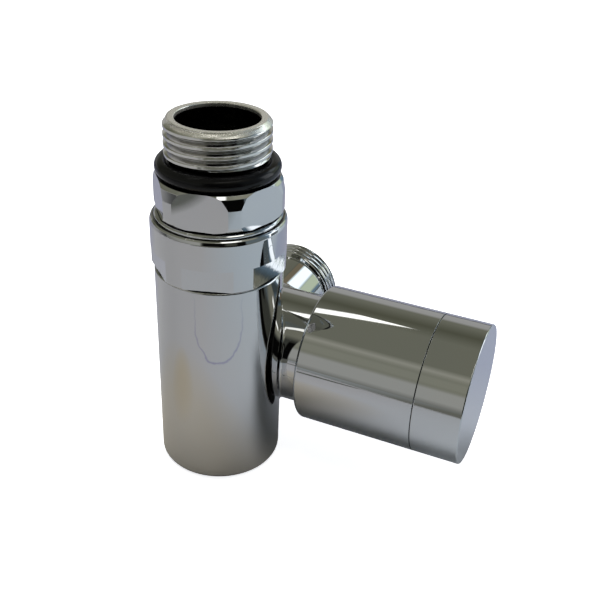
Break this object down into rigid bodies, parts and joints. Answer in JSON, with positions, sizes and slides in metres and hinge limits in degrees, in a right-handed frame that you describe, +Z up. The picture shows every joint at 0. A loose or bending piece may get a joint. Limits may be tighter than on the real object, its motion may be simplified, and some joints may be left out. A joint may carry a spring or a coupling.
{
  "type": "corner radiator valve",
  "caption": "Chrome corner radiator valve: column with union nut and threaded tailpiece, side sleeve with turning end knob, threaded pipe port at the back.",
  "frame": {"origin": "centre of the column's flat base", "axes": "+Z up the column towards the tailpiece's mouth, +X along the control axis towards the knob, +Y out of the pipe port at the back"},
  "size_m": [0.0678, 0.0554, 0.0778],
  "materials": {
    "chrome": "mirror-polished chrome plate",
    "satin_chrome": "chrome plate over a turned thread, slightly satin",
    "brass": "turned brass",
    "steel": "bright steel",
    "rubber": "smooth, slightly glossy black rubber",
    "plastic": "moulded black plastic",
    "ptfe": "white PTFE"
  },
  "bodies": {
    "valve_body": {"body_casting": "chrome", "bonnet": "brass", "bonnet_oring": "rubber", "stem_clip": "steel", "gland_washer": "ptfe", "gland_nut": "brass", "sleeve": "chrome", "sleeve_carrier": "plastic", "sleeve_grub_screw": "steel"},
    "knob": {"knob_shell": "chrome", "knob_hub": "plastic", "knob_grub_screw": "steel", "stem": "brass", "stem_oring_inner": "rubber", "stem_oring_outer": "rubber"},
    "plunger": {"plunger": "brass", "disc_seal": "rubber", "disc_screw": "steel"},
    "tailpiece": {"tailpiece": "satin_chrome", "radiator_oring": "rubber", "tail_seal": "rubber", "snap_ring": "steel"},
    "union_nut": {"union_nut": "chrome"}
  },
  "joints": [
    {"name": "knob_turn", "type": "hinge", "parent": "valve_body", "child": "knob", "pos_m": [0.04, 0.0146, 0.0218], "axis": [1, 0, 0], "range_deg": [0, 720]},
    {"name": "plunger_travel", "type": "slide", "parent": "valve_body", "child": "plunger", "axis": [1, 0, 0], "range_m": [0, 0.003]},
    {"name": "tail_lift", "type": "slide", "parent": "valve_body", "child": "tailpiece", "axis": [0, 0, 1], "range_m": [0, 0.006]},
    {"name": "nut_turn", "type": "hinge", "parent": "tailpiece", "child": "union_nut", "pos_m": [0, 0, 0.0526], "axis": [0, 0, 1], "range_deg": [0, 1440]}
  ],
  "couplings": [
    {"joint": "plunger_travel", "follows": "knob_turn", "m_per_rad": 0.00023873},
    {"joint": "nut_turn", "follows": "tail_lift", "rad_per_m": 4188.8}
  ]
}
